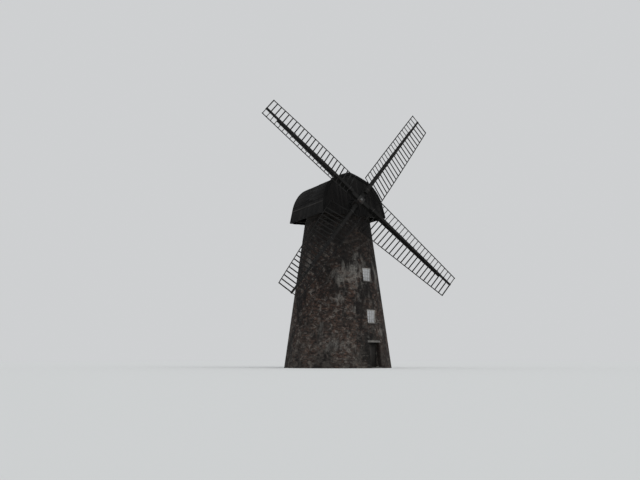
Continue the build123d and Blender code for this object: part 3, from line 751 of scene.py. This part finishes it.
boards = {
    "upright": 0.165, "gap": 0.005, "thick": 0.020, "bevel": 0.003,
    "lap": 0.17, "overlap": 0.025, "drip": 0.01,
    "lift": 0.016,  # of a roof board's foot off the roof
    "bedded": 0.004, "headRise": 0.002,  # its back at the foot sits lower, and its face at the head higher
    "meet": 0.36, "meetSpread": 0.3,  # where a row's two lengths meet, as shares of the run
    "over": 0.03,  # past the front and the rear
    "below": 0.03,  # past the foot
    "ahead": 0.012,  # of the raked face, at most
    "skirtStart": 0.01, "skirtTop": 0.02, "underArch": 0.004, "gablePast": 0.1,
    "lapUneven": 0.0015, "thickUneven": 0.0018, "footUneven": 0.006,
}
frontSlope = (cap["frontTopY"] - cap["frontFootY"]) / (cap["apexZ"] - cap["foot"])
frontNormal = unit([0.0, -1.0, frontSlope])
skirtSlope = (cap["footX"] - cap["breakX"]) / (cap["breakZ"] - cap["foot"])
halfGap = boards["gap"] / 2


def frontY(z):
    # the raked front goes back by the same amount for each metre of height
    return cap["frontFootY"] + frontSlope * (z - cap["foot"])


def onFront(x, z, depth):
    # a place on the raked front, at a distance square to it
    return np.stack([x, frontY(z), z], axis=-1) + frontNormal * depth


def onRear(x, z, depth):
    # a place on the upright rear, at a distance square to it
    return np.stack([x, cap["rearY"] + depth + 0 * x, z], axis=-1)


def onSkirt(side, y, z, depth):
    # a place on a flared skirt, cut off just ahead of the raked face
    x = cap["footX"] - skirtSlope * (z - cap["foot"])
    y = max(y, frontY(z) - boards["ahead"])
    return np.array([side * x, y, z]) + unit([side, 0.0, skirtSlope]) * depth


def archPoints(perArc=24):
    # the roof's half section: three arcs, each leaving on the last one's direction
    knots = [(cap["breakX"], cap["breakZ"]), cap["shoulder"], cap["brow"], (0.0, cap["apexZ"])]
    direction = math.radians(cap["startTangent"])
    points, directions = [], []
    for start, end in zip(knots, knots[1:]):
        turn = 2 * (math.atan2(end[1] - start[1], end[0] - start[0]) - direction)
        radius = math.dist(start, end) / (2 * math.sin(turn / 2))
        s = direction + np.linspace(0, turn, perArc)
        x = start[0] + radius * (np.sin(s) - math.sin(direction))
        z = start[1] - radius * (np.cos(s) - math.cos(direction))
        points.append(np.stack([x, z], axis=-1))
        directions.append(s)
        direction += turn
    points = np.concatenate(points)
    lengths = np.concatenate([[0], np.cumsum(np.hypot(*np.diff(points, axis=0).T))])
    return points, np.concatenate(directions), lengths


archXz, archDirection, archLength = archPoints()


def archAt(s):
    # place and outward normal on the half section at a length from the eaves
    x = np.interp(s, archLength, archXz[:, 0])
    z = np.interp(s, archLength, archXz[:, 1])
    d = np.interp(s, archLength, archDirection)
    return x, z, np.sin(d), -np.cos(d)


def archHeight(x):
    # height of the section's edge at a distance from the middle
    x = np.abs(x)
    order = np.argsort(archXz[:, 0])
    upper = np.interp(x, archXz[order, 0], archXz[order, 1])
    return np.where(x <= cap["breakX"], upper, cap["breakZ"] - (x - cap["breakX"]) / skirtSlope)


def lapBoards(side):
    # boards along the roof in two lengths, each one's foot lapping the one below
    total = archLength[-1]
    rows = int(round(total / boards["lap"]))
    edges = np.linspace(0, total, rows + 1)
    blocks = []
    for row in range(rows):
        ends = archAt(edges[row] - boards["drip"]), archAt(min(edges[row + 1] + boards["overlap"], total))
        cut = boards["meet"] + boards["meetSpread"] * (row * 7 % 5) / 5
        for near, far in (((0.0, 0.0), (cut, -halfGap)), ((cut, halfGap), (1.0, 0.0))):
            wobble = rng.normal(0, boards["lapUneven"], 2)
            inner = (boards["lift"] - boards["bedded"], 0.0)
            outer = [boards["thick"] + boards[key] + more for key, more in zip(("lift", "headRise"), wobble)]
            corners = []
            for offsets in (inner, outer):
                for end, (share, shift) in ((0, near), (0, far), (1, far), (1, near)):
                    x, z, nx, nz = ends[end]
                    x, z = x + nx * offsets[end], z + nz * offsets[end]
                    reach = (frontY(z) - boards["over"], cap["rearY"] + boards["over"])
                    corners.append((side * x, between(reach, share) + shift, z))
            blocks.append(corners)
    return blocks


def prism(outline, place, back, front):
    # a block whose back and front follow an outline of four places
    return [place(*corner, depth) for depth in (back, front) for corner in outline]


def uprightBoards(low, high, outlines, place):
    # boards side by side; outlines gives the four places round each, and place puts them at a depth
    count = max(1, int(round((high - low) / boards["upright"])))
    edges = np.linspace(low, high, count + 1)
    blocks = []
    for a, b in zip(edges, edges[1:]):
        thick = boards["thick"] + rng.normal(0, boards["thickUneven"])
        foot = cap["foot"] - boards["below"] + rng.normal(0, boards["footUneven"])
        for outline in outlines(a + halfGap, b - halfGap, foot):
            blocks.append(prism(outline, place, 0.0, thick))
    return blocks


def addBoards(name, blocks, material):
    addBlocks(name, blocks, "cap", material, rng.random(len(blocks)), boards["bevel"])


def skirtOutline(a, b, foot):
    # one board from the foot to just over the skirt's top
    top = cap["breakZ"] + boards["skirtTop"]
    return [[(a, foot), (b, foot), (b, top), (a, top)]]


sides = ((-1, "Left"), (1, "Right"))
for side, name in sides:
    addBoards(f"roofBoards{name}", lapBoards(side), tarredLong)
start = cap["frontFootY"] - boards["skirtStart"]
for side, name in sides:
    blocks = uprightBoards(start, cap["rearY"], skirtOutline, lambda *at: onSkirt(side, *at))
    addBoards(f"skirtBoards{name}", blocks, tarredUpright)

fillet = {"low": 13.72, "high": 13.83, "back": 0.021, "front": 0.046, "lengths": 2, "past": 0.02}


def filletBlocks(side):
    # a strip along the skirt in lengths end to end, from the raked face to the rear
    blocks = []
    for part in range(fillet["lengths"]):
        outline = []
        for level, share in (("low", part), ("low", part + 1), ("high", part + 1), ("high", part)):
            run = (frontY(fillet[level]) - boards["ahead"], cap["rearY"] + fillet["past"])
            y = between(run, share / fillet["lengths"]) - (boards["gap"] if share > part else 0.0)
            outline.append((y, fillet[level]))
        blocks.append(prism(outline, lambda *at: onSkirt(side, *at), fillet["back"], fillet["front"]))
    return blocks


blocks = filletBlocks(-1) + filletBlocks(1)
addBlocks("skirtFillets", blocks, "cap", greyTimber, rng.random(len(blocks)), bevel=0.004)

shaftHole = {"half": 0.40, "low": 13.26, "high": 14.06}


def gableOutlines(a, b, foot):
    # one board from the foot to just under the arch at its two edges
    topA, topB = (float(archHeight(x)) - boards["underArch"] for x in (a, b))
    return [[(a, foot), (b, foot), (b, topB), (a, topA)]]


def frontOutlines(a, b, foot):
    # boards in the way of the shaft stop below its hole and start again above it
    whole = gableOutlines(a, b, foot)[0]
    if b <= -shaftHole["half"] or a >= shaftHole["half"]:
        return [whole]
    low, high = shaftHole["low"], shaftHole["high"]
    return [whole[:2] + [(b, low), (a, low)], [(a, high), (b, high)] + whole[2:]]


halfGable = cap["breakX"] + boards["gablePast"]
for name, outlines, place in (("frontBoards", frontOutlines, onFront), ("rearBoards", gableOutlines, onRear)):
    blocks = uprightBoards(0.0, halfGable, outlines, place) + uprightBoards(-halfGable, 0.0, outlines, place)
    addBoards(name, blocks, tarredUpright)

collar = {"half": 0.396, "hole": 0.218, "boards": 5, "back": -0.044, "front": -0.020, "points": 9}


def neckBoards():
    # boards in two halves round the shaft; an inner end follows the circle z = middle +- sqrt(hole^2 - x^2)
    middle = (shaftHole["low"] + shaftHole["high"]) / 2
    edges = np.linspace(-collar["half"], collar["half"], collar["boards"] + 1)
    parts = []
    for a, b in zip(edges, edges[1:]):
        x = np.linspace(a + halfGap, b - halfGap, collar["points"])
        bite = np.sqrt(np.maximum(collar["hole"] ** 2 - x ** 2, 0.0)) + halfGap
        whole = np.full_like(x, collar["half"])
        for hand in (-1, 1):
            corners = ((whole, "front"), (bite, "front"), (bite, "back"), (whole, "back"))
            rings = [onFront(x, middle + hand * reach, collar[depth]) for reach, depth in corners]
            parts.append(cappedTube("board", rings))
    return mergedMesh("neckBoards", parts)


addPiece(neckBoards(), "cap", tarredUpright)

verge = {
    "below": -0.13, "frontAbove": 0.150, "rearAbove": 0.044, "footAbove": 0.044,
    "back": 0.018, "front": 0.046, "points": 40,
}


def vergeMesh(name, height, place):
    # a flat board bent along the gable's edge, up the skirt and over the arch, both halves in one run
    arch = np.stack(archAt(np.linspace(0, archLength[-1], verge["points"])), axis=-1)
    half = np.vstack([[cap["footX"], cap["foot"], *unit([1.0, skirtSlope])], arch])
    # the two halves meet in a mitre at the ridge, one over the cosine of the slope high
    half[-1, 2:] = 0.0, 1 / half[-1, 3]
    x, z, nx, nz = np.concatenate([half, half[-2::-1] * (-1, 1, -1, 1)]).T
    above = np.full(len(x), height)
    above[[0, -1]] = verge["footAbove"]
    below = np.full(len(x), verge["below"])
    corners = ((below, "back"), (above, "back"), (above, "front"), (below, "front"))
    rings = [place(x + nx * radial, z + nz * radial, verge[depth]) for radial, depth in corners]
    return cappedTube(name, rings)


addPiece(vergeMesh("vergeFront", verge["frontAbove"], onFront), "cap", tarredLong)
addPiece(vergeMesh("vergeRear", verge["rearAbove"], onRear), "cap", tarredLong)
print("cap boarded")


# clamps round each stock and whip

clamps = {
    "at": (1.35, 3.1, 4.6, 6.1, 7.6, 9.0), "width": 0.07, "thick": 0.010,
    "past": 0.03, "clear": 0.002, "rod": 0.011, "nut": 0.021,
}


def nutProfile(size):
    # the nut, and the bolt's end standing out of it, as shares of the nut's size
    shares = [(0, 0), (1, 0), (1, 0.75), (0.55, 0.78), (0.55, 1.3), (0, 1.3)]
    return [(size * radius, size * distance) for radius, distance in shares]


def whipShare(radius):
    # 0 where the whip starts and 1 at its tip
    return (radius - sails["whipStart"]) / (sails["radius"] - sails["whipStart"])


def addIron(name, parts, body="sails", bevel=0.0):
    # small iron parts as one piece
    addPiece(mergedMesh(name, parts), body, iron, bevel=bevel)


clampBlocks, clampRods = [], []
halfThick, nut = clamps["thick"] / 2, nutProfile(clamps["nut"])
for angle, seat in arms:
    out, side, forward = armAxes(angle)
    for radius in clamps["at"]:
        stockShare = (radius - sails["stockStart"]) / (sails["stockReach"] - sails["stockStart"])
        stock = between(sails["stock"], np.clip(stockShare, 0, 1))
        whipWide, whipDeep = (between(sails[key], whipShare(radius)) for key in ("whipWide", "whipDeep"))
        halfWide = max(stock, whipWide) / 2 + clamps["rod"] + clamps["clear"]
        front, back = whipDeep + halfThick, -stock - halfThick
        base = hub + out * radius + forward * seat
        along, across = out * clamps["width"] / 2, side * (halfWide + clamps["past"])
        for depth in (front, back):
            clampBlocks.append(block(base + forward * depth, along, across, forward * halfThick))
        rod = [(0, 0), (clamps["rod"], 0), (clamps["rod"], front - back), (0, front - back)]
        for hand in (-1, 1):
            start = base + forward * back + side * hand * halfWide
            clampRods += [
                turnedMesh("rod", start, forward, rod, sides=8),
                turnedMesh("nut", start + forward * (front - back + halfThick), forward, nut),
                turnedMesh("nut", start - forward * halfThick, -forward, nut),
            ]
addBlocks("sailClamps", clampBlocks, "sails", iron, bevel=0.002)
addIron("clampRods", clampRods)


# each sail's innermost bars, the laths that carry its edges on to them, and its wedges and nails

heel = {
    "bars": ((1.83,), (1.45, 1.83), (1.45,), (1.45, 1.83)), "past": 0.05, "lathTop": 2.196,
    "wideBar": 0.096, "narrowBar": 0.060, "barThick": 0.034,
    "lathWidth": 0.070, "lathThick": 0.042, "cover": 0.014,
}
wedges = {"length": 0.08, "thick": 0.016, "width": 0.050, "clear": 0.018, "sunk": 0.002}
nails = {"proud": 0.020, "profile": [(0, 0), (0.013, 0), (0.009, 0.007), (0, 0.009)]}


def barAxes(angle, seat, radius):
    # a bar's middle, its directions across the sail and square to it, turned by the weather, and its share
    out, side, forward = armAxes(angle)
    share = (radius - sails["heel"]) / (sails["radius"] - sails["heel"])
    w = math.radians(between(sails["weather"], share))
    middle = hub + out * radius + forward * (seat + sails["barSeat"])
    return middle, side * math.cos(w) + forward * math.sin(w), forward * math.cos(w) - side * math.sin(w), share


def heelBlocks(angle, seat, radii):
    # a bar is a box from the whip to the lath; a lath is a box whose two ends are turned by the weather there
    out = armAxes(angle)[0]
    blocks = []
    for hand, key in ((-1, "wide"), (1, "narrow")):
        for radius in radii:
            middle, across, square, share = barAxes(angle, seat, radius)
            half = across * (between(sails[key], share) - heel["cover"]) / 2
            barWidth, barThick = out * heel[f"{key}Bar"] / 2, square * heel["barThick"] / 2
            blocks.append(block(middle + half * hand, half, barWidth, barThick))
        lath = []
        for radius in (radii[0] - heel["past"], heel["lathTop"]):
            middle, across, square, share = barAxes(angle, seat, radius)
            outer = between(sails[key], share)
            inner = outer - heel["lathWidth"]
            for reach, level in ((inner, -1), (outer, -1), (outer, 1), (inner, 1)):
                lath.append(middle + across * hand * reach + square * level * heel["lathThick"] / 2)
        blocks.append(lath)
    return blocks


for number in range(2):
    blocks = []
    for arm in (number, number + 2):
        blocks += heelBlocks(*arms[arm], heel["bars"][arm])
    addBlocks(f"heelBars{number + 1}", blocks, "sails", barTimber[number])

# a wedge at each of a bar's four corners where it goes through its whip, and a nail where it meets a lath
barRadii = np.linspace(sails["heel"], sails["radius"] - sails["tipToBar"], sails["bars"])
wedgeBlocks, lathNails = [], []
for (angle, seat), heelRadii in zip(arms, heel["bars"]):
    out = armAxes(angle)[0]
    for radius in (*heelRadii, *barRadii):
        middle, across, square, share = barAxes(angle, seat, radius)
        aside = between(sails["whipWide"], whipShare(radius)) / 2 + wedges["clear"]
        rise = (heel["barThick"] + wedges["thick"]) / 2 - wedges["sunk"]
        half = across * wedges["length"] / 2, out * wedges["width"] / 2, square * wedges["thick"] / 2
        for hand, key in ((-1, "wide"), (1, "narrow")):
            for face in (-1, 1):
                wedgeBlocks.append(block(middle + across * hand * aside + square * face * rise, *half))
            reach = between(sails[key], share) - heel["lathWidth"] / 2
            head = middle + across * hand * reach + square * nails["proud"]
            lathNails.append(turnedMesh("nail", head, square, nails["profile"]))
addBlocks("barWedges", wedgeBlocks, "sails", sailTimber[0], bevel=0.003)
addIron("lathNails", lathNails)


# cast flanges round the poll end's mouths, its bolts, and the cap on the shaft's nose

poll = {
    "half": 0.27, "front": 0.13,
    "flangesAt": (-0.60, -0.25, 0.095), "rim": 0.030, "proud": 0.022, "sunk": 0.004,
    "boltRing": 0.205, "boltSpread": 0.12, "bolt": 0.024, "boltSunk": 0.002,
    "boss": [
        (0.0, 0.125), (0.105, 0.125), (0.105, 0.140), (0.082, 0.146),
        (0.080, 0.178), (0.064, 0.202), (0.036, 0.214), (0.0, 0.217),
    ],
}
pollSides = [(armAxes(angle)[0], armAxes(angle + 90)[0]) for angle, seat in arms]


def squareFlange(depth):
    # four bars round the poll end, mitred into one ring, at a distance along the shaft
    inner, outer, halfRim = poll["half"] - poll["sunk"], poll["half"] + poll["proud"], poll["rim"] / 2
    rings = []
    for reach, level in ((inner, -halfRim), (outer, -halfRim), (outer, halfRim), (inner, halfRim)):
        rings.append([hub + shaftForward * (depth + level) + (a + b) * reach for a, b in pollSides])
    return closedMesh(gridMesh("flange", np.array(rings), closeU=True, closeV=True))


addIron("pollFlanges", [squareFlange(depth) for depth in poll["flangesAt"]], bevel=0.006)
pollBolts = []
for outwards, aside in pollSides:
    for spread in (-poll["boltSpread"], poll["boltSpread"]):
        forwards = shaftForward * (poll["front"] - poll["boltSunk"])
        at = hub + forwards + outwards * poll["boltRing"] + aside * spread
        pollBolts.append(turnedMesh("bolt", at, shaftForward, nutProfile(poll["bolt"])))
addIron("pollBolts", pollBolts)
boss = turnedMesh("pollBoss", hub, shaftForward, poll["boss"], sides=32)
addPiece(boss, "sails", zinc, smooth=True)
print("sail iron fitted")


# door planks and iron

planks = {
    "count": 7, "low": 0.112, "high": 2.013, "half": 0.545, "thick": 0.012, "gap": 0.006,
    "face": 3.8392,  # of the leaf, from the tower's middle
}
out, right = facing(doorway["azimuth"])
plankEdges = np.linspace(-planks["half"], planks["half"], planks["count"] + 1)
plankMiddle = out * (planks["face"] + planks["thick"] / 2) + up * (planks["low"] + planks["high"]) / 2
plankBlocks = []
for a, b in zip(plankEdges, plankEdges[1:]):
    halfTall, halfWide = up * (planks["high"] - planks["low"]) / 2, right * (b - a - planks["gap"]) / 2
    plankBlocks.append(block(plankMiddle + right * (a + b) / 2, halfTall, halfWide, out * planks["thick"] / 2))
tones = rng.random(planks["count"])
addBlocks("doorPlanks", plankBlocks, "door", doorTimber, tones, bevel=0.004)

doorIron = {
    "nailRows": (0.30, 0.35, 1.04, 1.09, 1.78, 1.83), "nailIn": 0.035, "sunk": 0.002,
    "nail": [(0, 0), (0.010, 0), (0.008, 0.005), (0, 0.007)],
    "handleAt": (0.40, 1.05),
    "plate": [(0, 0), (0.035, 0), (0.035, 0.005), (0.012, 0.008), (0.010, 0.030), (0, 0.032)],
    "ringOut": 0.024, "ringRadius": 0.055, "ringWire": 0.008, "ringGrip": 0.006,
}


def onDoor(x, z, depth=0.0):
    # a place on the planks' face, at a distance out from it
    return out * (planks["face"] + planks["thick"] + depth) + right * x + up * z


def ringMesh(middle):
    # a torus that hangs flat against the door: a circle of wire carried round a circle
    turn = np.linspace(0, 2 * np.pi, 33)[:-1, None, None]
    wire = np.linspace(0, 2 * np.pi, 9)[None, :-1, None]
    reach = doorIron["ringRadius"] + doorIron["ringWire"] * np.cos(wire)
    flat = np.cos(turn) * reach * right + np.sin(turn) * reach * up
    return closedMesh(gridMesh("pull", middle + flat + doorIron["ringWire"] * np.sin(wire) * out, True, True))


doorParts = []
for z in doorIron["nailRows"]:
    for a, b in zip(plankEdges, plankEdges[1:]):
        for x in (a + doorIron["nailIn"], b - doorIron["nailIn"]):
            doorParts.append(turnedMesh("stud", onDoor(x, z, -doorIron["sunk"]), out, doorIron["nail"]))
x, z = doorIron["handleAt"]
doorParts.append(turnedMesh("plate", onDoor(x, z, -doorIron["sunk"]), out, doorIron["plate"], sides=16))
doorParts.append(ringMesh(onDoor(x, z - doorIron["ringRadius"] + doorIron["ringGrip"], doorIron["ringOut"])))
addIron("doorIron", doorParts, "door")
print("door planked")


# floor, light and camera

studio = {
    "floorSize": 900.0, "floorColour": (0.643, 0.650, 0.632),
    "sunStrength": 1.35, "sunAngle": 60.0, "sunTurn": (48, 0, 6),
    "skyColour": (0.93, 0.95, 1.0, 1), "skyStrength": 0.72, "backdrop": (0.62, 0.63, 0.64, 1),
}
floorPoints = np.array([[[-1, -1, 0], [-1, 1, 0]], [[1, -1, 0], [1, 1, 0]]]) * studio["floorSize"] / 2
floor = addObject("paleFloor", gridMesh("paleFloor", floorPoints))
floor.data.materials.append(newMaterial("paleFloor", 1.0, specular=0.0, colour=studio["floorColour"])[0])

world = bpy.data.worlds.new("studio")
scene.world = world
world.use_nodes = True
tree = world.node_tree
sky = tree.nodes["Background"]
sky.inputs["Color"].default_value = studio["skyColour"]
sky.inputs["Strength"].default_value = studio["skyStrength"]
backdrop = addNode("ShaderNodeBackground", {"Color": studio["backdrop"], "Strength": 1.0}, tree)
rays = addNode("ShaderNodeLightPath", {}, tree).outputs
bounced = maths("MAXIMUM", rays["Is Glossy Ray"], rays["Is Transmission Ray"])
seen = maths("MAXIMUM", rays["Is Camera Ray"], bounced)
shown = {0: seen, 1: sky.outputs["Background"], 2: backdrop.outputs["Background"]}
blend = addNode("ShaderNodeMixShader", shown)
tree.links.new(blend.outputs["Shader"], tree.nodes["World Output"].inputs["Surface"])

sun = bpy.data.lights.new("softKey", "SUN")
sun.energy = studio["sunStrength"]
sun.angle = math.radians(studio["sunAngle"])
addObject("softKey", sun).rotation_euler = [math.radians(angle) for angle in studio["sunTurn"]]

photo = {
    "width": 640, "focalPixels": 771.3, "riseRows": 50.0, "sensor": 36.0, "farthest": 2000.0,
    "eye": (-32.69, -57.754, 0.651), "turn": -28.196, "pitch": 5.2,
}
cameraData = bpy.data.cameras.new("photoCamera")
cameraData.sensor_width = photo["sensor"]
cameraData.lens = photo["focalPixels"] / photo["width"] * photo["sensor"]
cameraData.shift_y = photo["riseRows"] / photo["width"]
cameraData.clip_end = photo["farthest"]
camera = addObject("photoCamera", cameraData)
camera.location = photo["eye"]
camera.rotation_euler = (math.radians(90 + photo["pitch"]), 0, math.radians(photo["turn"]))
scene.camera = camera
scene.view_settings.view_transform = "Standard"

print("stage set")
